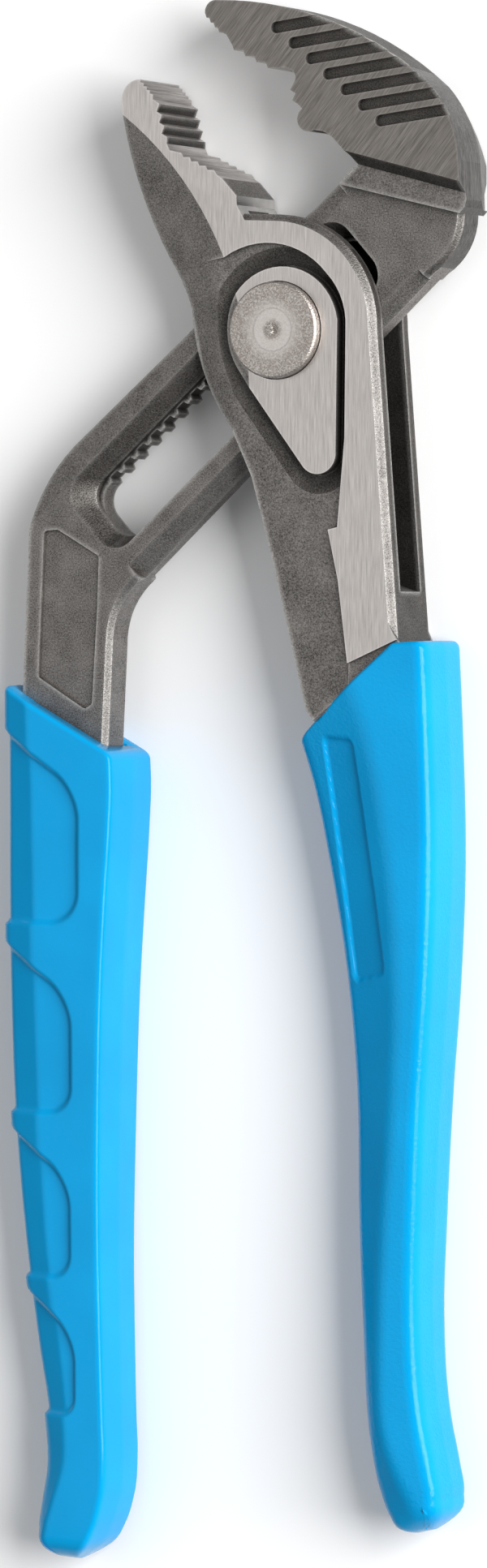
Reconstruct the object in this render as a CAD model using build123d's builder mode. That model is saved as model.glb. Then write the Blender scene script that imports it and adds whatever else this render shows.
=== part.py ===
"""Tongue and groove pliers with a push-button size lock, lying flat on their back.

Millimetres. The origin is on the pivot axis in the plane that the tool rests on.
+Z points up out of that plane, -Y runs down the handles and +Y towards the jaws.
Both levers and both grips are the same, front and back, about the plane MID_Z,
except for the right jaw's grooves in front and the bevel round its rim behind.
"""
from build123d import *
import os
from math import cos, radians, sin

os.makedirs("parts", exist_ok=True)

# ---------------------------------------------------------------- driving dimensions
MID_Z = 7.5                  # the mid-plane of the whole tool
GRIP_THICK = 15.0
JAW_THICK = 13.8
GAP_THICK = 7.4              # room between the two cheeks of the box lever
ARM_THICK = 7.0              # slotted arm, web and tang
COLLAR_THICK = 9.2           # shoulder between the arm and the right jaw
TANG_THICK = 7.0             # the handle cores inside the grips
FORGED_DEPTH = 0.8           # as-forged surfaces lie this far below the ground ones

SLOT_ANGLE = 42.0            # direction of the slot, from +X
SLOT_LOW = -5.6              # plain side of the slot, measured across it from the pivot
SLOT_HIGH = 5.7              # toothed side, in front of the rack
SLOT_START = -45.5           # lower end of the slot, measured along it from the pivot
SLOT_END = 18.7              # upper end
SLOT_CORNER = 3.6
RACK_CREST = 4.7
RACK_ROOT = 5.5
RACK_PITCH = 3.35
RACK_TOP_Z = 7.8             # the rack fills the rear of the arm up to here

CHEEK_BORE_R = 8.05
BACK_BORE_R = 4.55
CAP_BORE_R = 7.55
CAP_BORE_DEPTH = 1.45
RUNNING_GAP = 0.05           # radial clearance of every turning or sliding fit
SLIDE_GAP = 0.1              # clearance of the slide block in the slot

BUTTON_R = 7.85
BUTTON_TOP_Z = 16.1
BUTTON_BASE_Z = 13.95
BUTTON_TRAVEL = 1.2
STEM_R = 2.7
SLEEVE_HEAD_Z = (11.25, 12.65)
SLEEVE_TAIL_Z = 1.05
SPRING_POCKET_R = 3.9
SPRING_POCKET_Z = 9.3
SPRING_WIRE_R = 0.28
SPRING_MEAN_R = 3.25
KEY_Z = (4.6, 7.5)
KEY_HALF_WIDTH = 3.35
TONGUE_HALF_U = 0.9
TONGUE_HALF_V = 0.7

FRONT_Z = MID_Z + JAW_THICK / 2
BACK_Z = MID_Z - JAW_THICK / 2
ARM_FRONT_Z = MID_Z + ARM_THICK / 2
ARM_BACK_Z = MID_Z - ARM_THICK / 2
GAP_BACK_Z = MID_Z - GAP_THICK / 2
FORGED_Z = FRONT_Z - FORGED_DEPTH

MID_PLANE = Plane.XY.offset(MID_Z)
ALONG = Vector(cos(radians(SLOT_ANGLE)), sin(radians(SLOT_ANGLE)))
ACROSS = Vector(-ALONG.Y, ALONG.X)


def slot_plane(z):
    """A horizontal plane at height z whose x runs along the slot and y across it."""
    return Plane(origin=(0, 0, z), x_dir=(ALONG.X, ALONG.Y, 0), z_dir=(0, 0, 1))


def slot_section(u):
    """A plane square to the slot at u: its x runs across the slot, its y is height."""
    return Plane(origin=(ALONG.X * u, ALONG.Y * u, 0), x_dir=(ACROSS.X, ACROSS.Y, 0),
                 z_dir=(ALONG.X, ALONG.Y, 0))


def teeth(start, end, count, depth, valley_at):
    """Points of a row of teeth: crests on the line start-end, valleys to its right.

    Each valley lies at the fraction valley_at of its tooth and depth off the line.
    """
    first, last = Vector(*start), Vector(*end)
    pitch = (last - first) / count
    inward = Vector(pitch.Y, -pitch.X).normalized() * depth
    points = []
    for number in range(count):
        crest = first + pitch * number
        points += [crest, crest + pitch * valley_at + inward]
    return [(p.X, p.Y) for p in points + [last]]


# ---------------------------------------------------------------- box lever
# Left jaw, then the two cheeks either side of the window, then the handle core.
JAW_TIP = (-25.0, 41.5)
NOSE = (-7.3, 20.5)
LEFT_JAW_TEETH = (
    teeth(JAW_TIP, (-22.7, 39.0), 4, 0.32, 0.4)
    + [(-22.72, 38.2)]
    + teeth((-21.5, 37.4), (-20.1, 31.95), 3, 0.8, 0.58)
    + [(-20.15, 30.85), (-19.6, 29.75)]
    + teeth((-17.4, 29.25), (-11.5, 26.3), 4, 0.5, 0.36)
    + [(-10.9, 25.45), (-10.0, 24.9), (-7.35, 22.0), NOSE, (-6.5, 19.1), (0.0, 18.8)]
)
CHEEK_RIGHT = (17.5, 0.0)
WINDOW_END_Y = -42.5
BOX_TANG_SHOULDER = (21.3, -50.0)
BOX_TANG_LEFT = (4.9, -61.8)
BOX_TANG_FOOT = ((21.9, -51.2), (6.3, -63.5))    # the thick part ends just inside the grip's mouth
BOX_TANG_TIP_Y = -176.0
RIM_CHAMFER = 1.1
FLANK_AXIS = (-63.6, -10.9)  # the left flank is a shallow cone about this point
FLANK_R = 58.6               # and starts at this radius
FLANK_RUN = 20.0
FLANK_FALL = 5.0
FOOT_STEP = 0.6              # the handle under the ground band lies this far below it
MOAT_WIDTH = 3.2             # the scooped moat round the teardrop boss
MOAT_DEPTH = 1.2
MOAT_FOOT = 0.3              # its bottom starts this far out from the boss

# The teardrop boss round the button: a round head that narrows down to a small tip.
with BuildSketch() as boss:
    with BuildLine():
        boss_top = ThreePointArc((-7.6, -5.8), (-0.6, 10.2), (10.9, 1.5))
        Line(boss_top @ 1, (10.6, -19.8))
        ThreePointArc((10.6, -19.8), (7.3, -23.4), (4.5, -21.9))
        Line((4.5, -21.9), boss_top @ 0)
    make_face()

# The as-forged floor around the boss and down the left of the handle.
with BuildSketch() as forged_floor:
    with BuildLine():
        ThreePointArc((-9.7, 12.0), (0.4, 14.0), (9.0, 9.0))
        ThreePointArc((9.0, 9.0), (11.7, 4.8), (12.4, 0.0))
        Polyline((12.4, 0.0), (12.2, -17.6), (10.9, -32.0), (9.2, -32.4), (11.0, -40.5), (12.7, -54.0),
                 (12.0, -70.0), (-20.0, -70.0), (-24.0, 10.0), (-9.7, 12.0))
    make_face()
    add(boss.sketch, mode=Mode.SUBTRACT)

# What is cut away above that floor and, in the moat, below it.
with BuildPart() as floor_cut:
    for z, grow in ((FORGED_Z, MOAT_WIDTH), (FORGED_Z - MOAT_DEPTH, MOAT_FOOT)):
        with BuildSketch(Plane.XY.offset(z)):
            add(boss.sketch)
            offset(amount=grow)
    loft(ruled=True)
    with BuildSketch(Plane.XY.offset(FORGED_Z - MOAT_DEPTH - 1)):
        add(forged_floor.sketch)
    extrude(amount=MOAT_DEPTH + 1, mode=Mode.INTERSECT)
    with BuildSketch(Plane.XY.offset(FORGED_Z)):
        add(forged_floor.sketch)
    extrude(amount=2)

with BuildPart() as box_lever:
    with BuildSketch(MID_PLANE):
        with BuildLine():
            Polyline(*LEFT_JAW_TEETH)
            ThreePointArc(LEFT_JAW_TEETH[-1], (12.2, 13.3), CHEEK_RIGHT)
            Polyline(CHEEK_RIGHT, BOX_TANG_SHOULDER, *BOX_TANG_FOOT, BOX_TANG_LEFT, (-1.4, -36.5),
                     (-5.1, -23.5), (-8.8, -15.6))
            ThreePointArc((-8.8, -15.6), (-15.3, -4.3), (-16.7, 4.0))
            ThreePointArc((-16.7, 4.0), (-18.8, 8.9), (-21.0, 12.6))
            ThreePointArc((-21.0, 12.6), (-26.1, 24.4), (-28.4, 38.3))
            ThreePointArc((-28.4, 38.3), (-27.5, 40.6), JAW_TIP)
        make_face()
    extrude(amount=JAW_THICK / 2, both=True)

    # A bevel along the outer edge of both cheeks and the handle, front and back.
    rim = box_lever.edges().filter_by(
        lambda e: abs(abs(e.center().Z - MID_Z) - JAW_THICK / 2) < 0.01 and e.length > 14 and e.center().X > 10
    )
    chamfer(rim, length=RIM_CHAMFER)

    # The window for the slotted lever, open on both sides of the cheeks.
    with BuildSketch(MID_PLANE):
        Polygon((-19.5, 6.8), (-8.6, 11.2), (-7.0, 19.0), (-6.0, 24.0), (30.0, 24.0), (30.0, -38.0),
                (20.6, WINDOW_END_Y), (-2.0, -35.0), (-14.0, -32.0), (-24.0, -6.0), align=None)
    extrude(amount=GAP_THICK / 2, both=True, mode=Mode.SUBTRACT)

    # The left flank falls away from the ground face in a shallow cone, front and back.
    with BuildSketch(Plane(origin=(*FLANK_AXIS, 0), x_dir=(1, 0, 0), z_dir=(0, -1, 0))):
        with BuildLine():
            Polyline((FLANK_R, FRONT_Z), (FLANK_R - FLANK_RUN, FRONT_Z - FLANK_FALL), (FLANK_R - FLANK_RUN, FRONT_Z + 1),
                     (FLANK_R, FRONT_Z + 1), close=True)
        make_face()
        mirror(about=Plane.XZ.offset(-MID_Z))
    revolve(axis=Axis((*FLANK_AXIS, 0), (0, 0, 1)), mode=Mode.SUBTRACT)

    # The forged floor, its moat and the step down at the foot of the ground band, front and back.
    add(floor_cut.part, mode=Mode.SUBTRACT)
    add(mirror(floor_cut.part, about=MID_PLANE, mode=Mode.PRIVATE), mode=Mode.SUBTRACT)
    with BuildSketch(Plane.XY.offset(FRONT_Z - FOOT_STEP)):
        Polygon((12.7, -54.0), (21.9, -50.0), (26.0, -52.0), (26.0, -70.0), (12.0, -70.0), align=None)
    extrude(amount=2, mode=Mode.SUBTRACT)

    # Bores: the sleeve's head in front, its rear journal and the cap behind.
    with Locations((0, 0, MID_Z)):
        Cylinder(CHEEK_BORE_R, 10, align=(Align.CENTER, Align.CENTER, Align.MIN), mode=Mode.SUBTRACT)
    with Locations((0, 0, 0)):
        Cylinder(BACK_BORE_R, MID_Z, align=(Align.CENTER, Align.CENTER, Align.MIN), mode=Mode.SUBTRACT)
        Cylinder(CAP_BORE_R, BACK_Z + CAP_BORE_DEPTH, align=(Align.CENTER, Align.CENTER, Align.MIN),
                 mode=Mode.SUBTRACT)

    # The slimmer core that runs down inside the grip.
    with BuildSketch(MID_PLANE):
        with BuildLine():
            Polyline((6.5, -60.0), (10.5, -80.0), (15.0, -107.0), (16.4, -135.0), (17.0, -160.0),
                     (19.5, BOX_TANG_TIP_Y), (22.6, BOX_TANG_TIP_Y), (21.6, -160.0), (21.8, -135.0),
                     (24.0, -107.0), (24.8, -80.0), (20.6, -52.0), close=True)
        make_face()
    extrude(amount=TANG_THICK / 2, both=True)

box_lever.part.label = "box_lever"
export_step(box_lever.part, "parts/box_lever.step")


# ---------------------------------------------------------------- slotted lever
# Right jaw, shoulder, slotted arm, web and handle core, all about the same mid-plane.
RIGHT_JAW_TIP = (-13.1, 51.9)
JAW_FOOT_LEFT = (13.5, 26.6)
JAW_FOOT_RIGHT = (32.7, 21.4)
JAW_FOOT_SLOPE = 1.7         # the ground face starts this far above the foot line
# The bevel behind the jaw's rim slopes from the first outline, at the back face, out to the
# second, at the mid-plane. Each is two arcs and a line, given by their ends and middles.
RIM_BEVEL_BACK = ((-10.9, 53.9), (10.2, 48.4), (25.6, 37.4), (28.8, 32.0), (30.9, 26.4), (30.9, 19.0))
RIM_BEVEL_MIDDLE = ((-10.9, 54.2), (10.6, 49.7), (27.3, 39.2), (31.3, 33.0), (32.8, 26.5), (33.3, 19.0))
COLLAR_LEFT = (10.0, 23.5)
COLLAR_RIGHT = (31.6, 18.2)
RIDGE_HIGH = 8.6             # bright ridges of the two rails, measured across the slot
RIDGE_LOW = -8.8
PANEL_DEPTH = 0.5
MOUTH_Z = 8.9                # the slot's mouth slopes out from here to the face of the arm
MOUTH_START_FLARE = 2.8      # by this much at the lower end
MOUTH_END_FLARE = 0.4        # at the upper end
MOUTH_LOW_FLARE = 0.45       # and along the plain side
GROOVE_FIRST = (-0.1, 49.0)  # centre of the first groove's rounded end
GROOVE_STEP = (3.125, -2.617)
GROOVE_ANGLE = 6.8
GROOVE_WIDTH = 1.9
GROOVE_LENGTH = 18.0
GROOVE_DEPTH = 0.9
GROOVE_COUNT = 7


def across_slot(*corners):
    """The outline of a wedge cut, its corners given as (across the slot, height)."""
    return Polygon(*corners, align=None)


with BuildPart() as slotted_lever:
    # Arm, web and neck in the thickness of the window.
    with BuildSketch(MID_PLANE):
        with BuildLine():
            Polyline((12.0, 26.2), (32.8, 20.34), COLLAR_RIGHT)
            ThreePointArc(COLLAR_RIGHT, (30.0, 12.6), (26.2, 8.9))
            Line((26.2, 8.9), (-28.3, -41.2))
            ThreePointArc((-28.3, -41.2), (-31.2, -45.2), (-32.4, -50.0))
            Polyline((-32.4, -50.0), (-33.6, -74.0), (-49.0, -64.0), (-48.8, -56.7), (-47.7, -32.3))
            ThreePointArc((-47.7, -32.3), (-45.2, -25.4), (-38.0, -16.8))
            Polyline((-38.0, -16.8), (-16.8, 1.2), (8.9, 23.2), (12.0, 26.2))
        make_face()
    extrude(amount=ARM_THICK / 2, both=True)
    broken_edges = slotted_lever.edges().filter_by(
        lambda e: abs(abs(e.center().Z - MID_Z) - ARM_THICK / 2) < 0.01
        and (e.center().X > 26.5 or -34 < e.center().X < -29 and e.center().Y < -41)
    )
    chamfer(broken_edges, length=0.9)

    # The two rails: a shallow slope outside the upper ridge, a steep one below the lower.
    for start, length, wedge in (
        (-60, 82.8, ((RIDGE_HIGH, ARM_FRONT_Z), (13.6, 9.9), (13.6, 12), (RIDGE_HIGH, 12))),
        (-47, 71.0, ((RIDGE_LOW, ARM_FRONT_Z), (-12.6, 7.9), (-12.6, 12), (RIDGE_LOW, 12))),
    ):
        with BuildSketch(slot_section(start)):
            across_slot(*wedge)
            across_slot(*((v, 2 * MID_Z - z) for v, z in wedge))
        extrude(amount=length, mode=Mode.SUBTRACT)

    # The recessed panel on the web, left plain.
    with BuildSketch(Plane.XY.offset(ARM_FRONT_Z - PANEL_DEPTH)) as panel:
        Polygon((-44.9, -32.2), (-42.3, -32.0), (-34.6, -36.4), (-34.9, -45.0), (-35.9, -60.9),
                (-37.3, -61.7), (-46.0, -56.4), align=None)
        fillet(panel.vertices(), radius=0.7)
    extrude(amount=2, mode=Mode.SUBTRACT)

    # The shoulder under the jaw.
    with BuildSketch(MID_PLANE):
        Polygon(JAW_FOOT_RIGHT, (32.85, 20.4), (32.5, 19.2), COLLAR_RIGHT, COLLAR_LEFT, JAW_FOOT_LEFT, align=None)
    extrude(amount=COLLAR_THICK / 2, both=True)

    # The jaw, with fine teeth at the tip and coarse ones behind them.
    with BuildSketch(MID_PLANE):
        with BuildLine():
            Polyline(JAW_FOOT_RIGHT, JAW_FOOT_LEFT, (12.8, 28.0), (10.6, 30.3))
            ThreePointArc((10.6, 30.3), (8.8, 31.7), (6.6, 32.2))
            ThreePointArc((6.6, 32.2), (3.85, 33.2), (4.6, 35.7))
            Polyline((4.6, 35.7), *teeth((3.75, 36.5), (3.05, 39.9), 2, -0.85, 0.45))
            ThreePointArc((3.05, 39.9), (3.35, 41.0), (2.6, 42.0))
            Polyline((2.6, 42.0), (1.3, 42.6), *teeth((0.0, 42.45), (-8.2, 46.6), 4, -0.7, 0.64), (-9.2, 48.2),
                     *teeth((-10.0, 48.6), RIGHT_JAW_TIP, 4, -0.35, 0.3))
            ThreePointArc(RIGHT_JAW_TIP, (-12.7, 53.2), (-10.9, 53.9))
            ThreePointArc((-10.9, 53.9), (10.5, 49.3), (27.0, 39.0))
            ThreePointArc((27.0, 39.0), (31.0, 32.9), (32.4, 26.5))
            Line((32.4, 26.5), JAW_FOOT_RIGHT)
        make_face()
    extrude(amount=JAW_THICK / 2, both=True)

    # The ground faces of the jaw slope down to the shoulder along its foot.
    foot = Vector(*JAW_FOOT_RIGHT) - Vector(*JAW_FOOT_LEFT)
    foot_start = Vector(*JAW_FOOT_LEFT) - foot * 0.2
    with BuildSketch(Plane(origin=foot_start, x_dir=(-foot.Y, foot.X, 0), z_dir=foot)):
        for side in (1, -1):
            Polygon((0, MID_Z + side * COLLAR_THICK / 2), (JAW_FOOT_SLOPE, MID_Z + side * JAW_THICK / 2),
                    (JAW_FOOT_SLOPE, MID_Z + side * JAW_THICK), (-4, MID_Z + side * JAW_THICK),
                    (-4, MID_Z + side * COLLAR_THICK / 2), align=None)
    extrude(amount=foot.length * 1.4, mode=Mode.SUBTRACT)

    # The bevel behind the rim of the jaw.
    for z, points in ((BACK_Z - 0.5, RIM_BEVEL_BACK), (MID_Z, RIM_BEVEL_MIDDLE)):
        with BuildSketch(Plane.XY.offset(z)):
            with BuildLine():
                ThreePointArc(*points[0:3])
                ThreePointArc(*points[2:5])
                Polyline(points[4], points[5], (40.0, 19.0), (40.0, 60.0), (-10.9, 60.0), points[0])
            make_face()
    loft(ruled=True, mode=Mode.SUBTRACT)

    # Seven oblong grooves, rounded at the left and run out through the rim.
    with BuildSketch(Plane.XY.offset(FRONT_Z - GROOVE_DEPTH)):
        run = Vector(cos(radians(GROOVE_ANGLE)), sin(radians(GROOVE_ANGLE))) * (GROOVE_LENGTH - GROOVE_WIDTH)
        starts = [Vector(*GROOVE_FIRST) + Vector(*GROOVE_STEP) * i for i in range(GROOVE_COUNT)]
        with Locations(*[start + run / 2 for start in starts]):
            SlotCenterToCenter(run.length, GROOVE_WIDTH, rotation=GROOVE_ANGLE)
    extrude(amount=2, mode=Mode.SUBTRACT)

    # The slot: plain in front of the rack, toothed behind, with a sloping mouth.
    slot_length = SLOT_END - SLOT_START
    slot_middle = (SLOT_END + SLOT_START) / 2
    with BuildSketch(slot_plane(RACK_TOP_Z)):
        with Locations((slot_middle, (SLOT_LOW + SLOT_HIGH) / 2)):
            RectangleRounded(slot_length, SLOT_HIGH - SLOT_LOW, SLOT_CORNER)
    extrude(amount=GAP_THICK, mode=Mode.SUBTRACT)
    with BuildSketch(slot_plane(0)):
        with Locations((slot_middle, (SLOT_LOW + RACK_CREST) / 2)):
            RectangleRounded(slot_length, RACK_CREST - SLOT_LOW, SLOT_CORNER)
        for tooth in range(-12, 5):
            with Locations((tooth * RACK_PITCH, 0)):
                Polygon((-1.2, RACK_CREST - 0.2), (-0.8, RACK_ROOT), (0.8, RACK_ROOT), (1.2, RACK_CREST - 0.2),
                        align=None)
    extrude(amount=RACK_TOP_Z, mode=Mode.SUBTRACT)
    with BuildSketch(slot_plane(MOUTH_Z)):
        with Locations((slot_middle, (SLOT_LOW + SLOT_HIGH) / 2)):
            RectangleRounded(slot_length, SLOT_HIGH - SLOT_LOW, SLOT_CORNER)
    mouth_low = SLOT_LOW - MOUTH_LOW_FLARE
    mouth_start = SLOT_START - MOUTH_START_FLARE
    mouth_end = SLOT_END + MOUTH_END_FLARE
    with BuildSketch(slot_plane(ARM_FRONT_Z + 0.02)):
        with Locations(((mouth_start + mouth_end) / 2, (mouth_low + RIDGE_HIGH) / 2)):
            RectangleRounded(mouth_end - mouth_start, RIDGE_HIGH - mouth_low, SLOT_CORNER + MOUTH_LOW_FLARE)
    loft(mode=Mode.SUBTRACT)

    # The core that runs down inside the grip.
    with BuildSketch(MID_PLANE):
        Polygon((-48.6, -62.0), (-47.2, -80.0), (-46.3, -110.0), (-45.2, -140.0), (-43.6, -165.0), (-42.4, -180.0),
                (-37.0, -180.0), (-36.3, -165.0), (-36.0, -140.0), (-35.6, -110.0), (-34.4, -80.0), (-33.7, -70.0),
                align=None)
    extrude(amount=TANG_THICK / 2, both=True)

slotted_lever.part.label = "slotted_lever"
export_step(slotted_lever.part, "parts/slotted_lever.step")


# ---------------------------------------------------------------- grips
GRIP_EDGE = 2.6              # rounding of a grip's long edges

with BuildPart() as left_grip:
    with BuildSketch(MID_PLANE):
        with BuildLine():
            Polyline((-50.2, -58.4), (-30.4, -69.2), (-29.8, -72.0), (-30.4, -82.0), (-31.6, -100.0),
                     (-32.5, -122.0), (-32.8, -150.0), (-32.4, -172.0), (-32.0, -186.0))
            ThreePointArc((-32.0, -186.0), (-34.4, -197.8), (-40.6, -203.2))
            ThreePointArc((-40.6, -203.2), (-45.2, -201.2), (-46.0, -195.5))
            Polyline((-46.0, -195.5), (-44.8, -187.0), (-45.4, -179.5), (-48.8, -157.5), (-51.2, -131.0),
                     (-52.2, -99.0), (-52.2, -61.0), (-50.2, -58.4))
        make_face()
    extrude(amount=GRIP_THICK / 2, both=True)
    fillet(left_grip.faces().filter_by(Axis.Z).edges(), radius=GRIP_EDGE)
    add(slotted_lever.part, mode=Mode.SUBTRACT)

left_grip.part.label = "left_grip"
export_step(left_grip.part, "parts/left_grip.step")

with BuildPart() as right_grip:
    with BuildSketch(MID_PLANE):
        with BuildLine():
            Polyline((3.2, -66.2), (6.4, -62.6), (21.8, -50.6), (25.6, -50.0), (28.0, -54.0), (28.9, -72.0),
                     (28.8, -86.0), (27.4, -110.0), (25.8, -130.0), (24.9, -150.0), (24.9, -165.0), (26.2, -178.0),
                     (28.6, -189.0))
            ThreePointArc((28.6, -189.0), (26.4, -193.6), (22.0, -195.0))
            ThreePointArc((22.0, -195.0), (17.6, -191.2), (14.8, -181.0))
            Polyline((14.8, -181.0), (13.2, -161.0), (12.4, -144.0), (11.8, -122.0), (10.6, -107.0), (8.4, -92.0),
                     (3.2, -66.2))
        make_face()
    extrude(amount=GRIP_THICK / 2, both=True)
    fillet(right_grip.faces().filter_by(Axis.Z).edges(), radius=GRIP_EDGE)
    add(box_lever.part, mode=Mode.SUBTRACT)

right_grip.part.label = "right_grip"
export_step(right_grip.part, "parts/right_grip.step")


# ---------------------------------------------------------------- pivot and size lock
KEY_BACK = -3.0              # rear end of the lock key, measured across the slot
KEY_TOOTH_DEPTH = 0.7
TONGUE_TOP_Z = 8.8
TONGUE_END_Z = 5.85
TONGUE_CENTRE_Z = 7.2        # the slanting tongue crosses the pivot axis here
RING_Z = (1.35, 1.9)
RING_RADII = (3.8, 6.0)
RING_OPENING = 50.0
CAP_THICK = 0.95
WASHER_RADII = (2.8, 3.8)
WASHER_THICK = 0.3
SPRING_TURNS = 3.5


def slanting_tongue(low_z, high_z, half_thickness):
    """A 45 degree bar in the plane across the slot: it leans inwards as it rises."""
    low = TONGUE_CENTRE_Z - low_z
    high = TONGUE_CENTRE_Z - high_z
    return Polygon((low - half_thickness, low_z), (low + half_thickness, low_z), (high + half_thickness, high_z),
                   (high - half_thickness, high_z), align=None)


with BuildPart() as pivot_sleeve:
    with BuildSketch(Plane.XY.offset(SLEEVE_HEAD_Z[0])):
        Circle(CHEEK_BORE_R - RUNNING_GAP)
    extrude(amount=SLEEVE_HEAD_Z[1] - SLEEVE_HEAD_Z[0])
    with BuildSketch(slot_plane(GAP_BACK_Z + RUNNING_GAP)):
        block_low = SLOT_LOW + SLIDE_GAP
        block_high = RACK_CREST - SLIDE_GAP
        with Locations((0, (block_low + block_high) / 2)):
            Rectangle(10.4, block_high - block_low)
    extrude(amount=SLEEVE_HEAD_Z[0] - GAP_BACK_Z - RUNNING_GAP)
    with BuildSketch(Plane.XY.offset(SLEEVE_TAIL_Z)):
        Circle(BACK_BORE_R - RUNNING_GAP)
    extrude(amount=GAP_BACK_Z + RUNNING_GAP - SLEEVE_TAIL_Z)
    with BuildSketch(Plane.XY.offset(RING_Z[0] - RUNNING_GAP)):
        Circle(BACK_BORE_R + 1)
        Circle(RING_RADII[0] - RUNNING_GAP, mode=Mode.SUBTRACT)
    extrude(amount=RING_Z[1] - RING_Z[0] + 2 * RUNNING_GAP, mode=Mode.SUBTRACT)
    with BuildSketch(Plane.XY.offset(SPRING_POCKET_Z)):
        Circle(SPRING_POCKET_R)
    extrude(amount=5, mode=Mode.SUBTRACT)
    with BuildSketch(Plane.XY.offset(KEY_Z[0])):
        Circle(STEM_R + RUNNING_GAP)
    extrude(amount=6, mode=Mode.SUBTRACT)
    with BuildSketch(slot_plane(KEY_Z[0] - RUNNING_GAP)):
        channel_back = KEY_BACK - BUTTON_TRAVEL - SLIDE_GAP
        with Locations((0, (channel_back + RACK_ROOT) / 2)):
            Rectangle(2 * (KEY_HALF_WIDTH + RUNNING_GAP), RACK_ROOT - channel_back)
    extrude(amount=KEY_Z[1] - KEY_Z[0] + 2 * RUNNING_GAP, mode=Mode.SUBTRACT)

pivot_sleeve.part.label = "pivot_sleeve"
export_step(pivot_sleeve.part, "parts/pivot_sleeve.step")

with BuildPart() as push_button:
    with BuildSketch(Plane.XZ):
        with BuildLine():
            Polyline((0, TONGUE_TOP_Z), (STEM_R, TONGUE_TOP_Z), (STEM_R, BUTTON_BASE_Z), (BUTTON_R, BUTTON_BASE_Z),
                     (BUTTON_R, BUTTON_TOP_Z - 0.35), (BUTTON_R - 0.3, BUTTON_TOP_Z - 0.05), (3.6, BUTTON_TOP_Z),
                     (3.3, BUTTON_TOP_Z - 0.06), (1.0, BUTTON_TOP_Z - 0.06), (0, BUTTON_TOP_Z - 0.3), close=True)
        make_face()
    revolve(axis=Axis.Z)
    with BuildSketch(slot_section(-TONGUE_HALF_U)):
        slanting_tongue(TONGUE_END_Z, TONGUE_TOP_Z + 0.01, TONGUE_HALF_V)
    extrude(amount=2 * TONGUE_HALF_U)

push_button.part.label = "push_button"
export_step(push_button.part, "parts/push_button.step")

with BuildPart() as lock_key:
    with BuildSketch(slot_plane(KEY_Z[0])):
        tip = RACK_CREST - SLIDE_GAP
        root = tip - KEY_TOOTH_DEPTH
        with BuildLine():
            Polyline((-KEY_HALF_WIDTH, KEY_BACK), (-KEY_HALF_WIDTH, root), (-2.35, root), (-2.05, tip), (-1.3, tip),
                     (-1.0, root), (1.0, root), (1.3, tip), (2.05, tip), (2.35, root), (KEY_HALF_WIDTH, root),
                     (KEY_HALF_WIDTH, KEY_BACK), close=True)
        make_face()
    extrude(amount=KEY_Z[1] - KEY_Z[0])
    with BuildSketch(slot_section(-TONGUE_HALF_U - RUNNING_GAP)):
        slanting_tongue(KEY_Z[0] - 0.5, KEY_Z[1] + 0.5, TONGUE_HALF_V + 0.07)
    extrude(amount=2 * (TONGUE_HALF_U + RUNNING_GAP), mode=Mode.SUBTRACT)

lock_key.part.label = "lock_key"
export_step(lock_key.part, "parts/lock_key.step")

with BuildPart() as spring_washer:
    with BuildSketch(Plane.XY.offset(SPRING_POCKET_Z)):
        Circle(WASHER_RADII[1])
        Circle(WASHER_RADII[0], mode=Mode.SUBTRACT)
    extrude(amount=WASHER_THICK)

spring_washer.part.label = "spring_washer"
export_step(spring_washer.part, "parts/spring_washer.step")

spring_start = SPRING_POCKET_Z + WASHER_THICK + SPRING_WIRE_R + 0.02
spring_height = BUTTON_BASE_Z - SPRING_WIRE_R - 0.02 - spring_start
with BuildPart() as return_spring:
    with BuildLine(Plane.XY.offset(spring_start)):
        coil = Helix(pitch=spring_height / SPRING_TURNS, height=spring_height, radius=SPRING_MEAN_R)
    with BuildSketch(Plane(origin=coil @ 0, z_dir=coil % 0)):
        Circle(SPRING_WIRE_R)
    sweep()

return_spring.part.label = "return_spring"
export_step(return_spring.part, "parts/return_spring.step")

with BuildPart() as retaining_ring:
    with BuildSketch(Plane.XY.offset(RING_Z[0])):
        Circle(RING_RADII[1])
        Circle(RING_RADII[0], mode=Mode.SUBTRACT)
        opening_y = RING_RADII[1] * 2 * sin(radians(RING_OPENING / 2))
        opening_x = RING_RADII[1] * 2 * cos(radians(RING_OPENING / 2))
        Polygon((0, 0), (opening_x, -opening_y), (opening_x, opening_y), align=None, mode=Mode.SUBTRACT)
    extrude(amount=RING_Z[1] - RING_Z[0])

retaining_ring.part.label = "retaining_ring"
export_step(retaining_ring.part, "parts/retaining_ring.step")

with BuildPart() as rear_cap:
    Cylinder(CAP_BORE_R - 0.01, CAP_THICK, align=(Align.CENTER, Align.CENTER, Align.MIN))
    chamfer(rear_cap.faces().sort_by(Axis.Z)[0].edges(), length=0.3)

rear_cap.part.label = "rear_cap"
export_step(rear_cap.part, "parts/rear_cap.step")
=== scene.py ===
"""Tongue and groove pliers lying on a pale floor.

The steel comes from the frame, with its edges eased and its faces sorted by finish, with painted
shade and a painted glint on some. The two vinyl grips are surfaces worked out here. Places are in
millimetres in the frame's own axes, and MM turns them into metres.
"""

from math import cos, radians, sin

import bmesh
import bpy
import numpy as np
from mathutils import Matrix, Vector


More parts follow.
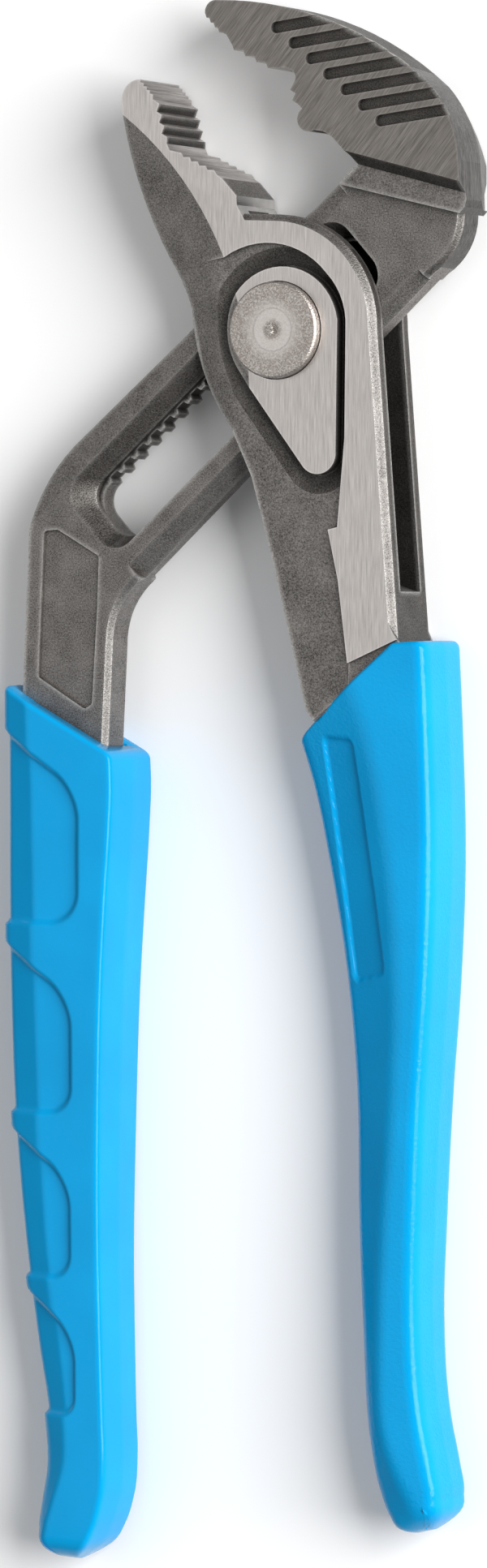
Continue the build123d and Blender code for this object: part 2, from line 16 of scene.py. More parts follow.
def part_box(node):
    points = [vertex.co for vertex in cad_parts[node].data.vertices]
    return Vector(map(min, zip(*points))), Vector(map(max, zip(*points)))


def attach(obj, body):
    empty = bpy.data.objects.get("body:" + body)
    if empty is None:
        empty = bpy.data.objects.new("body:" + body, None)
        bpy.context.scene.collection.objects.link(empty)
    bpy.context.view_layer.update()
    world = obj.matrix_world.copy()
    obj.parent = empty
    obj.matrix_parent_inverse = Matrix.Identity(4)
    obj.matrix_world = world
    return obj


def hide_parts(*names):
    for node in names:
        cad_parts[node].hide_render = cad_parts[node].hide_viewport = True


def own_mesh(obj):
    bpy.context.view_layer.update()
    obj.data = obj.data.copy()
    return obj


MM = 0.001
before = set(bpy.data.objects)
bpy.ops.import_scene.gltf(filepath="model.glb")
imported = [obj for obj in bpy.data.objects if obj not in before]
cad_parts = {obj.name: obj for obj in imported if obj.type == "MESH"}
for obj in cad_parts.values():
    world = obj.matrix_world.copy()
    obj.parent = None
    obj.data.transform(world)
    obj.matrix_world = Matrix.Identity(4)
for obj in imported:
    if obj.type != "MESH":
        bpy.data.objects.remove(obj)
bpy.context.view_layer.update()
scene = bpy.context.scene

GRIP_LOW, GRIP_HIGH = (corner.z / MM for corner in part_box("left_grip"))
MID_Z = (GRIP_LOW + GRIP_HIGH) / 2
GRIP_HALF = (GRIP_HIGH - GRIP_LOW) / 2
FACE_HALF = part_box("box_lever")[1].z / MM - MID_Z     # ground faces lie this far from the mid-plane


# ---------------------------------------------------------------- node helpers
def put(tree, kind, inputs, **settings):
    """Adds a node. An input given as a socket is linked, and any other is set."""
    node = tree.nodes.new(kind)
    for name, value in settings.items():
        setattr(node, name, value)
    for name, value in inputs.items():
        if isinstance(value, bpy.types.NodeSocket):
            tree.links.new(value, node.inputs[name])
        else:
            node.inputs[name].default_value = value
    return node


def math(tree, operation, first, second=0.0):
    """One sum on two values, such as ADD or MULTIPLY."""
    return put(tree, "ShaderNodeMath", {0: first, 1: second}, operation=operation).outputs[0]


def remap(tree, value, low, high, to_low, to_high):
    """Carries low..high to to_low..to_high and stops at both ends."""
    return put(tree, "ShaderNodeMapRange", {
        "Value": value, "From Min": low, "From Max": high, "To Min": to_low, "To Max": to_high,
    }).outputs[0]


def tint(tree, share, first, second):
    """Mixes two colours by share."""
    mixed = put(tree, "ShaderNodeMix", {0: share, 6: first, 7: second}, data_type="RGBA")
    return mixed.outputs[2]


def noise(tree, place, scale, detail=2.0, roughness=0.5):
    """Cloudy noise of 0 to 1 whose features are about 1 / scale metres wide."""
    inputs = {"Vector": place, "Scale": scale, "Detail": detail, "Roughness": roughness}
    return put(tree, "ShaderNodeTexNoise", inputs).outputs["Fac"]


def object_place(tree):
    return put(tree, "ShaderNodeTexCoord", {}).outputs["Object"]


def scaled_place(tree, place, scale):
    """The place with each of its axes stretched by its own factor."""
    return put(tree, "ShaderNodeVectorMath", {0: place, 1: scale}, operation="MULTIPLY").outputs[0]


def new_group(name, inputs, outputs):
    """A shader node group with the given float or vector inputs and float outputs."""
    tree = bpy.data.node_groups.new(name, "ShaderNodeTree")
    for label, value in inputs.items():
        kind = "NodeSocketVector" if value is None else "NodeSocketFloat"
        socket = tree.interface.new_socket(label, in_out="INPUT", socket_type=kind)
        if value is not None:
            socket.default_value = value
    for label in outputs:
        tree.interface.new_socket(label, in_out="OUTPUT", socket_type="NodeSocketFloat")
    return tree, tree.nodes.new("NodeGroupInput").outputs, tree.nodes.new("NodeGroupOutput")


def give(tree, result, **values):
    """Links values to a group's outputs."""
    for name, value in values.items():
        tree.links.new(value, result.inputs[name])


def use(tree, group, **inputs):
    """Places a shared group with this material's own values."""
    return put(tree, "ShaderNodeGroup", inputs, node_tree=group).outputs


# ---------------------------------------------------------------- shared effects
def make_grain():
    """Scaled forging skin: fine specks, broken up by soft patches a few millimetres wide."""
    tree, given, result = new_group(
        "forged_grain", {"Speck": 0.25, "Patch": 5.0}, ("Specks", "Patches", "Height"))
    place = object_place(tree)
    speck_scale = math(tree, "DIVIDE", 1 / MM, given["Speck"])
    patch_scale = math(tree, "DIVIDE", 1 / MM, given["Patch"])
    specks = noise(tree, place, speck_scale, 2.0, 0.65)
    patches = noise(tree, place, patch_scale, 3.0, 0.55)
    give(tree, result,
         Specks=remap(tree, specks, 0.3, 0.72, 0, 1),
         Patches=remap(tree, patches, 0.3, 0.7, 0, 1),
         Height=math(tree, "ADD", specks, math(tree, "MULTIPLY", patches, 0.4)))
    return tree


def make_brush():
    """Belt-ground streaks along the given place's Y: fine ones, and broad ones 3 times as wide."""
    tree, given, result = new_group(
        "belt_streaks", {"Place": None, "Width": 0.16}, ("Streaks", "Height"))
    scale = math(tree, "DIVIDE", 1 / MM, given["Width"])
    fine = noise(tree, scaled_place(tree, given["Place"], (1, 0.024, 1)), scale, 3.0, 0.6)
    broad = noise(tree, scaled_place(tree, given["Place"], (0.3, 0.011, 0.3)), scale, 2.0, 0.5)
    both = math(tree, "ADD", math(tree, "MULTIPLY", fine, 0.6), math(tree, "MULTIPLY", broad, 0.4))
    give(tree, result, Streaks=remap(tree, both, 0.34, 0.66, 0, 1), Height=fine)
    return tree


def make_rub():
    """Edges rubbed by handling, within Reach mm, and painted shade in hollows within Depth mm."""
    tree, given, result = new_group(
        "rubbed_edges", {"Reach": 0.6, "Depth": 3.0}, ("Rub", "Hollow"))
    reach = math(tree, "MULTIPLY", given["Reach"], MM)
    depth = math(tree, "MULTIPLY", given["Depth"], MM)
    inside = put(tree, "ShaderNodeAmbientOcclusion", {"Distance": reach},
                 inside=True, only_local=True, samples=6)
    outside = put(tree, "ShaderNodeAmbientOcclusion", {"Distance": depth},
                  only_local=True, samples=6)
    flecks = noise(tree, object_place(tree), 1 / (0.35 * MM), 3.0, 0.7)
    edges = remap(tree, inside.outputs["AO"], 0.95, 0.5, 0, 1)
    # The second output marks hollows found by ambient occlusion, where painted shade darkens the
    # skin.
    give(tree, result,
         Rub=math(tree, "MULTIPLY", edges, remap(tree, flecks, 0.3, 0.6, 0.35, 1)),
         Hollow=remap(tree, outside.outputs["AO"], 0.95, 0.35, 0, 1))
    return tree


GRAIN, BRUSH, RUB = make_grain(), make_brush(), make_rub()


# ---------------------------------------------------------------- materials
def new_material(name, **constants):
    """A material whose shader sockets are set to constants, named with _ for a space."""
    material = bpy.data.materials.new(name)
    material.use_nodes = True
    tree = material.node_tree
    shader = tree.nodes["Principled BSDF"]
    for label, value in constants.items():
        shader.inputs[label.replace("_", " ")].default_value = value
    return material, tree, shader


def wire(tree, shader, colour, roughness=None, height=None, depth=0.05):
    """Links colour and roughness, and a bump whose full height is depth mm."""
    tree.links.new(colour, shader.inputs["Base Color"])
    if roughness is not None:
        tree.links.new(roughness, shader.inputs["Roughness"])
    if height is not None:
        bump = put(tree, "ShaderNodeBump",
                   {"Height": height, "Distance": depth * MM, "Strength": 1.0})
        tree.links.new(bump.outputs[0], shader.inputs["Normal"])


def forged_steel(name, dark, light):
    """Dull warm grey forging skin, brighter where its proud edges are rubbed, and darkened in its
    hollows as painted shade.
    """
    material, tree, shader = new_material(name, Metallic=0.9)
    grain = use(tree, GRAIN)
    rub = use(tree, RUB, Reach=0.9, Depth=3.0)
    mixed = math(tree, "ADD", math(tree, "MULTIPLY", grain["Specks"], 0.75),
                 math(tree, "MULTIPLY", grain["Patches"], 0.25))
    skin = tint(tree, mixed, dark, light)
    # Near-black in hollows: painted shade.
    hollow_shaded = tint(tree, math(tree, "MULTIPLY", rub["Hollow"], 0.75), skin, (0.03, 0.027, 0.024, 1))
    colour = tint(tree, math(tree, "MULTIPLY", rub["Rub"], 0.8), hollow_shaded, (0.62, 0.60, 0.575, 1))
    roughness = remap(tree, rub["Rub"], 0, 1, 0.52, 0.30)
    wire(tree, shader, colour, roughness, grain["Height"], 0.09)
    return material


def ground_steel(name, turn, dark, light, width, worn=0.6, axis=(0, 0, 1), bands=0.0):
    """Belt-ground steel with streaks width mm wide, turned about axis by turn degrees from +Y.

    worn says how bright its edges are rubbed, and bands how dark the stripes across it are made:
    a painted reflection, bright and dark by place, standing in for the bands that lamps leave.
    """
    material, tree, shader = new_material(name, Metallic=1.0)
    angle = Vector(axis) * -radians(turn)
    turned = put(tree, "ShaderNodeMapping", {"Vector": object_place(tree), "Rotation": angle})
    streaks = use(tree, BRUSH, Place=turned.outputs[0], Width=width)
    rub = use(tree, RUB, Reach=0.35, Depth=1.5)
    steel = tint(tree, streaks["Streaks"], dark, light)
    # Stripes darkened by place: a painted reflection, standing in for the bands of reflected lamps.
    if bands:
        band_place = scaled_place(tree, object_place(tree), (0.2, 1, 0.1))
        painted_reflection = remap(tree, noise(tree, band_place, 1 / (9 * MM), 1.0), 0.42, 0.56, 0, bands)
        steel = tint(tree, painted_reflection, steel, (0.05, 0.047, 0.044, 1))
    colour = tint(tree, math(tree, "MULTIPLY", rub["Rub"], worn), steel, (0.80, 0.78, 0.76, 1))
    roughness = remap(tree, streaks["Streaks"], 0, 1, 0.44, 0.30)
    wire(tree, shader, colour, roughness, streaks["Height"], 0.012)
    return material


def blasted_steel():
    """A bead-blasted face, smoother in a ring round its centre, with radial marks in the dimple."""
    material, tree, shader = new_material("blasted_face", Metallic=1.0)
    place = object_place(tree)
    parts = put(tree, "ShaderNodeSeparateXYZ", {"Vector": place}).outputs
    squares = math(tree, "ADD", math(tree, "MULTIPLY", parts[0], parts[0]),
                   math(tree, "MULTIPLY", parts[1], parts[1]))
    radius = math(tree, "DIVIDE", math(tree, "POWER", squares, 0.5), MM)
    angle = math(tree, "ARCTAN2", parts[1], parts[0])
    outer = remap(tree, radius, 3.2, 5.6, 0, 1)
    centre = remap(tree, radius, 2.0, 1.2, 0, 1)
    specks = remap(tree, noise(tree, place, 1 / (0.28 * MM), 2.0, 0.7), 0.38, 0.62, 0, 1)
    spokes = math(tree, "MULTIPLY", math(tree, "SINE", math(tree, "MULTIPLY", angle, 24.0)), centre)
    rough_share = remap(tree, math(tree, "ADD", outer, centre), 0, 1, 0.25, 1)
    speckled = math(tree, "MULTIPLY", specks, rough_share)
    colour = tint(tree, speckled, (0.66, 0.62, 0.59, 1), (0.36, 0.31, 0.27, 1))
    height = math(tree, "ADD", math(tree, "MULTIPLY", speckled, -1),
                  math(tree, "MULTIPLY", spokes, 0.5))
    wire(tree, shader, colour, remap(tree, outer, 0, 1, 0.36, 0.46), height, 0.03)
    return material


def turned_steel(name, colour, roughness):
    """Lathe-turned or drawn steel: fine rings about the pivot axis."""
    material, tree, shader = new_material(name, Metallic=1.0)
    place = scaled_place(tree, object_place(tree), (1, 1, 0))
    length = put(tree, "ShaderNodeVectorMath", {0: place}, operation="LENGTH").outputs["Value"]
    rings = math(tree, "SINE", math(tree, "MULTIPLY", length, 2 * np.pi / (0.22 * MM)))
    stains = noise(tree, object_place(tree), 1 / (2.5 * MM), 3.0)
    stained = [0.8 * part for part in colour[:3]] + [1]
    shade = tint(tree, remap(tree, stains, 0.3, 0.7, 0, 1), stained, colour)
    dulled = remap(tree, stains, 0.3, 0.7, roughness, roughness + 0.12)
    wire(tree, shader, shade, dulled, rings, 0.008)
    return material


def blue_vinyl(name, peel_depth):
    """Dip-moulded vinyl: even blue, softly uneven, with an orange-peel skin."""
    material, tree, shader = new_material(name, IOR=1.46, Specular_IOR_Level=0.16, Roughness=0.13)
    place = object_place(tree)
    clouds = remap(tree, noise(tree, place, 1 / (16 * MM), 2.0), 0.3, 0.7, 0, 1)
    peel = noise(tree, place, 1 / (0.55 * MM), 2.0, 0.6)
    colour = tint(tree, clouds, (0.0003, 0.285, 0.60, 1), (0.0005, 0.315, 0.655, 1))
    roughness = remap(tree, peel, 0.3, 0.7, 0.11, 0.19)
    wire(tree, shader, colour, roughness, peel, peel_depth)
    return material


FORGED = forged_steel("forged_skin", (0.042, 0.039, 0.036, 1), (0.37, 0.348, 0.330, 1))
# A darker skin for the moat round the boss, the outer side of the box lever and the slotted lever's
# grooves, slopes and back of the jaw: painted shade.
SHADE_STEEL = forged_steel("shade_painted_skin", (0.012, 0.011, 0.010, 1), (0.17, 0.158, 0.147, 1))
# Near-black skin for walls and faces that lie in shade, such as the slot, the window between the
# cheeks and the gullets: painted shade.
DEEP_SHADE_STEEL = forged_steel("deep_shade_painted_skin", (0.012, 0.011, 0.010, 1), (0.085, 0.078, 0.072, 1))
BEVEL = forged_steel("rubbed_bevel", (0.05, 0.046, 0.042, 1), (0.26, 0.245, 0.232, 1))
GROUND = ground_steel("ground_face", 0, (0.44, 0.412, 0.392, 1), (0.65, 0.612, 0.585, 1), 0.08)
GROUND_JAW = ground_steel(
    "ground_jaw", -40, (0.12, 0.110, 0.100, 1), (0.29, 0.268, 0.246, 1), 0.075, worn=0.15)
# The rim's stripes are a painted reflection.
GROUND_RIM = ground_steel(
    "ground_rim", 0, (0.03, 0.028, 0.026, 1), (0.19, 0.181, 0.173, 1), 0.10, worn=0.1, bands=0.7)
CUT = ground_steel(
    "cut_teeth", 90, (0.30, 0.28, 0.27, 1), (0.66, 0.63, 0.61, 1), 0.12, worn=0.8, axis=(1, 0, 0))
# Bright polished steel for the end of the nose: a polished face, made brighter as a painted glint.
POLISHED_GLINT = turned_steel("polished_nose_painted_glint", (0.72, 0.70, 0.68, 1), 0.10)
BLASTED = blasted_steel()
TURNED = turned_steel("turned_steel", (0.52, 0.50, 0.48, 1), 0.28)
SPRING = turned_steel("spring_steel", (0.30, 0.29, 0.29, 1), 0.30)
VINYL_SMOOTH = blue_vinyl("blue_vinyl_smooth", 0.016)
VINYL_GRAINED = blue_vinyl("blue_vinyl_grained", 0.06)


# ---------------------------------------------------------------- steel levers
EDGE_WIDTH = 0.55            # easing of a forged edge; other edges have a share of it
GROUND_SHARE = 0.28
TOOTH_SHARE = 0.10
SHORT_EDGE = 2.0
SHARP_ANGLE = radians(24)    # a sharper turn between two faces is an edge


def face_arrays(mesh):
    """Centres in mm and normals of every face, as two arrays."""
    centres, normals = np.empty(len(mesh.polygons) * 3), np.empty(len(mesh.polygons) * 3)
    mesh.polygons.foreach_get("center", centres)
    mesh.polygons.foreach_get("normal", normals)
    return centres.reshape(-1, 3) / MM, normals.reshape(-1, 3)


def between(value, low, high):
    return (value > low) & (value < high)


# How a steel face was finished, or which painted shade or painted glint it gets, and then where and
# how faces lie, in mm and as the share of a face's normal that points along Z.
SKIN, FACE, TOOTH, PAINTED_DEEP_SHADE, BAND, RIM, PAINTED_GLINT, PAINTED_SHADE = range(8)
UPRIGHT = 0.3                # under this share a face is upright
LEVEL = 0.99                 # over this share it is level
FACE_SLACK = 0.03            # a ground face lies within this of the outermost level
LEFT_JAW_FOOT = 18.9         # the left jaw is above this Y
BOSS_MIDDLE = (2.0, -3.0)    # inside the teardrop boss round the button
SLOT_TURN = radians(42)      # the slot's direction, from +X
SLOT_END = 19.5              # its upper end, measured along it


def box_lever_finish_and_shade(centre, normal):
    """The finish of each face of the box lever, or the painted shade or glint it gets, from where it
    lies and which way it faces.
    """
    x, y, z = centre.T
    toward_x, toward_y, tilt = normal[:, 0], normal[:, 1], np.abs(normal[:, 2])
    upright = tilt < UPRIGHT
    level_out = np.abs(z - MID_Z)
    ground = (level_out > FACE_HALF - FACE_SLACK) & (tilt > LEVEL)
    band = between(tilt, 0.5, 0.9) & (x > 9)
    # The inner faces of the cheeks get near-black skin: painted shade.
    inner_cheek = (tilt > LEVEL) & between(level_out, 3.6, 3.8)
    gripping = upright & (y > LEFT_JAW_FOOT) & (0.75 * toward_x + 0.65 * toward_y > 0.15)
    # Gullets facing down and a notch among the teeth get near-black skin: painted shade.
    gullet = gripping & ((toward_y < -0.2) | between(y, 30.9, 31.9))
    # The nose's top gets forged skin instead of cut steel as painted shade, and its end a painted
    # glint.
    nose_top = gripping & (toward_y > 0.5) & between(x, -10.2, -7.2)
    nose_end = upright & between(y, LEFT_JAW_FOOT, 22) & between(x, -7.6, -6)
    # The moat round the boss and the lever's outer side get the darker skin: painted shade.
    near_boss = between(x, -13, 14) & between(y, -28, 14.5)
    leans_in = toward_x * (BOSS_MIDDLE[0] - x) + toward_y * (BOSS_MIDDLE[1] - y) > 0
    moat = near_boss & leans_in & ~upright & between(level_out, FACE_HALF - 2.2, FACE_HALF - 0.9)
    outer_side = upright & (toward_x > 0.6) & (x > 12)
    return np.select(
        [ground, band, nose_end, inner_cheek | gullet, nose_top, gripping, moat | outer_side],
        [FACE, BAND, PAINTED_GLINT, PAINTED_DEEP_SHADE, SKIN, TOOTH, PAINTED_SHADE], SKIN)


def slotted_lever_finish_and_shade(centre, normal):
    """The finish of each face of the slotted lever, or the painted shade it gets, from where it lies
    and which way it faces.
    """
    x, y, z = centre.T
    toward_x, toward_y, tilt = normal[:, 0], normal[:, 1], np.abs(normal[:, 2])
    along = x * cos(SLOT_TURN) + y * sin(SLOT_TURN)
    across = y * cos(SLOT_TURN) - x * sin(SLOT_TURN)
    upright = tilt < UPRIGHT
    sloping = between(tilt, UPRIGHT, 0.97)
    ground = (np.abs(z - MID_Z) > FACE_HALF - FACE_SLACK) & (tilt > LEVEL)
    # The slot's walls and the rack get near-black skin: painted shade.
    in_slot = between(along, -42, SLOT_END) & between(across, -6.2, 6.2)
    rack = in_slot & (tilt > 0.9) & (across > 4.5)
    # The jaw's walls between its teeth get near-black skin: painted shade.
    mouth_side = upright & (y > 30) & (0.45 * toward_x + 0.9 * toward_y < -0.1)
    tooth = mouth_side & (toward_x < 0.15)
    rim = (tilt < 0.6) & (toward_x > 0.6) & (x > 20) & (y > 8)
    # The grooves, the slot's mouth, the jaw's foot and the back of the jaw get the darker skin:
    # painted shade.
    groove = between(z - MID_Z, FACE_HALF - 1, FACE_HALF - 0.3) & (y > 25)
    slot_mouth = sloping & between(along, -50, SLOT_END) & between(across, -4, 9)
    jaw_foot = sloping & (toward_y < 0) & (x > 4) & (y > 8)
    back_of_jaw = (tilt < 0.6) & (toward_y > 0.5) & (y > 30)
    painted_shade_faces = groove | slot_mouth | jaw_foot | back_of_jaw
    return np.select(
        [ground, in_slot & upright | rack, tooth, mouth_side, rim, painted_shade_faces, sloping],
        [FACE, PAINTED_DEEP_SHADE, TOOTH, PAINTED_DEEP_SHADE, RIM, PAINTED_SHADE, BAND], SKIN)


def merged_copy(node, name):
    """A copy of a frame node with its loose triangles joined and each flat region one face."""
    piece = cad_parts[node].copy()
    piece.data = piece.data.copy()
    piece.name = name
    piece.parent = None
    scene.collection.objects.link(piece)
    built = bmesh.new()
    built.from_mesh(piece.data)
    bmesh.ops.remove_doubles(built, verts=built.verts, dist=0.001 * MM)
    bmesh.ops.dissolve_limit(built, angle_limit=radians(0.4), verts=built.verts, edges=built.edges)
    built.to_mesh(piece.data)
    built.free()
    piece.data.materials.clear()
    return piece


def steel_piece(node, name, body, finish, ground):
    """A merged copy of a frame node with its faces sorted by finish and painted shade, and its edges
    eased.

    ground is the material of its ground faces. An edge is eased by a full share between
    forged faces, less beside a ground face, and hardly at all on teeth and short edges.
    """
    piece = merged_copy(node, name)
    mesh = piece.data
    for material in (FORGED, ground, CUT, DEEP_SHADE_STEEL, BEVEL, GROUND_RIM, POLISHED_GLINT, SHADE_STEEL):
        mesh.materials.append(material)
    kinds = finish(*face_arrays(mesh))
    mesh.polygons.foreach_set("material_index", kinds.astype(np.int32))
    mesh.polygons.foreach_set("use_smooth", np.ones(len(kinds), bool))
    mesh.update()

    built = bmesh.new()
    built.from_mesh(mesh)
    weight = built.edges.layers.float.new("bevel_weight_edge")
    for edge in built.edges:
        if len(edge.link_faces) != 2 or edge.calc_face_angle() < SHARP_ANGLE:
            continue
        touching = {face.material_index for face in edge.link_faces}
        if TOOTH in touching or edge.calc_length() < SHORT_EDGE * MM:
            edge[weight] = TOOTH_SHARE
        elif touching & {FACE, RIM, PAINTED_GLINT}:
            edge[weight] = GROUND_SHARE
        else:
            edge[weight] = 1.0
    built.to_mesh(mesh)
    built.free()
    mesh.set_sharp_from_angle(angle=SHARP_ANGLE)
    bevel = piece.modifiers.new("eased_edges", "BEVEL")
    bevel.limit_method = "WEIGHT"
    bevel.width = EDGE_WIDTH * MM
    bevel.segments = 2
    bevel.use_clamp_overlap = True
    bevel.harden_normals = True
    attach(piece, body)
    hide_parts(node)


steel_piece("box_lever", "box_forging", "box_side", box_lever_finish_and_shade, GROUND)
steel_piece("slotted_lever", "slotted_forging", "slot_side", slotted_lever_finish_and_shade, GROUND_JAW)

# The return spring between its seat and the button. It shortens as the button sinks, but here it is
# one fixed merged copy on the pivot's body.
return_coil = merged_copy("return_spring", "return_coil")
return_coil.data.materials.append(SPRING)
return_coil.data.set_sharp_from_angle(angle=SHARP_ANGLE)
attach(return_coil, "pivot")
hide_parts("return_spring")
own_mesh(return_coil)

for node, material in {
    "push_button": BLASTED, "pivot_sleeve": TURNED, "lock_key": TURNED, "spring_washer": TURNED,
    "retaining_ring": SPRING, "rear_cap": BLASTED,
}.items():
    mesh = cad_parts[node].data
    mesh.materials.clear()
    mesh.materials.append(material)


# ---------------------------------------------------------------- grips
def smooth_through(keys, values, at):
    """A cubic through values at keys, read at the places in at.

    The slope at each key is that of the parabola through it and its neighbours.
    """
    slopes = np.gradient(values, keys, axis=0)
    i = np.clip(np.searchsorted(keys, at) - 1, 0, len(keys) - 2)
    span = (keys[i + 1] - keys[i])[:, None]
    t = (at - keys[i])[:, None] / span
    return ((2 * t**3 - 3 * t**2 + 1) * values[i] + (t**3 - 2 * t**2 + t) * span * slopes[i]
            + (3 * t**2 - 2 * t**3) * values[i + 1] + (t**3 - t**2) * span * slopes[i + 1])


def rounded_line(corners, cuts, runs, turn):
    """Carries a polygonal line (stations, corners, 2) into a smooth one.

    Each inner corner becomes a parabola that starts and ends its cut away, sampled turn
    times. The straight runs between them are sampled as often as runs says.
    """
    parts, start = [], corners[:, 0]
    for k in range(1, corners.shape[1] - 1):
        before, here, after = corners[:, k - 1], corners[:, k], corners[:, k + 1]
        back = (before - here) / np.linalg.norm(before - here, axis=1, keepdims=True)
        ahead = (after - here) / np.linalg.norm(after - here, axis=1, keepdims=True)
        cut = cuts[k - 1][:, None]
        enter, leave = here + back * cut, here + ahead * cut
        t = np.linspace(0, 1, runs[k - 1], endpoint=False)[None, :, None]
        parts.append(start[:, None] + (enter - start)[:, None] * t)
        t = np.linspace(0, 1, turn, endpoint=False)[None, :, None]
        parts.append((1 - t) ** 2 * enter[:, None] + 2 * t * (1 - t) * here[:, None]
                     + t**2 * leave[:, None])
        start = leave
    t = np.linspace(0, 1, runs[-1])[None, :, None]
    parts.append(start[:, None] + (corners[:, -1] - start)[:, None] * t)
    return np.concatenate(parts, axis=1)


def rounded_min(first, second, radius):
    """The smaller of two distances, with a circle of this radius where their lines meet."""
    a, b = np.maximum(radius - first, 0), np.maximum(radius - second, 0)
    return np.where((a > 0) & (b > 0), radius - np.hypot(a, b), np.minimum(first, second))


def ease(value):
    """0 below 0, 1 above 1, and a smooth step between."""
    value = np.clip(value, 0, 1)
    return value * value * (3 - 2 * value)


def grid_piece(name, grid, material, body, node):
    """A closed vinyl piece from a grid (stations, points round, 3) in mm, each end on a pole."""
    stations, around, _ = grid.shape
    poles = [grid[0].mean(0, keepdims=True), grid[-1].mean(0, keepdims=True)]
    points = np.concatenate([grid.reshape(-1, 3), *poles])
    row, column = np.meshgrid(np.arange(stations - 1), np.arange(around), indexing="ij")
    following = (column + 1) % around
    quads = np.stack([
        row * around + column, row * around + following,
        (row + 1) * around + following, (row + 1) * around + column,
    ], -1).reshape(-1, 4)
    ring = np.arange(around)
    first_pole, last_pole = stations * around, stations * around + 1
    last_row = (stations - 1) * around
    first_cap = np.stack([np.full(around, first_pole), (ring + 1) % around, ring], -1)
    last_cap = np.stack(
        [np.full(around, last_pole), last_row + ring, last_row + (ring + 1) % around], -1)
    faces = quads.tolist() + first_cap.tolist() + last_cap.tolist()
    mesh = bpy.data.meshes.new(name)
    mesh.from_pydata(points * MM, [], faces)
    mesh.polygons.foreach_set("use_smooth", np.ones(len(mesh.polygons), bool))
    built = bmesh.new()
    built.from_mesh(mesh)
    bmesh.ops.recalc_face_normals(built, faces=built.faces)
    built.to_mesh(mesh)
    built.free()
    mesh.materials.append(material)
    piece = bpy.data.objects.new(name, mesh)
    scene.collection.objects.link(piece)
    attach(piece, body)
    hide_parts(node)


STEP = 0.45                  # spacing of the stations along a grip
RIM_R = 1.2                  # rounding of the mouth at the sides
RIM_FRONT_R = 0.75           # and at the front and back
MOUTH_STATIONS = np.array([4.0, 0.5, 0.15, 0.0])     # from the bottom of the mouth out to its lip
MOUTH_FLARE = np.array([0, 0, 0.03, 0.12])           # and how far it widens at each
SIDE_DRAFT = 0.35            # the sides lean in by this much from the mid-plane to the front
FACET_LEAST = 1.2            # narrowest facet, beyond the rounded rim
FACET_MOST = 0.8             # widest facet, as a share of the grip's width
DROP_MOST = 0.8              # its deepest drop, as a share of the half thickness
FULL_CUTS = 5.0              # corners are cut less where the grip is thinner than this
TURN_POINTS = 6              # points round a corner
QUARTER_POINTS = 9           # stations round the rim and round the tip
CROWN_FADE = 24.0            # the mouth's rise dies away over this length


def quarter_drop(distance, radius):
    """How far a rounded edge has fallen at this distance from its end: a quarter circle."""
    return radius - np.sqrt(radius**2 - np.clip(radius - distance, 0, radius) ** 2)


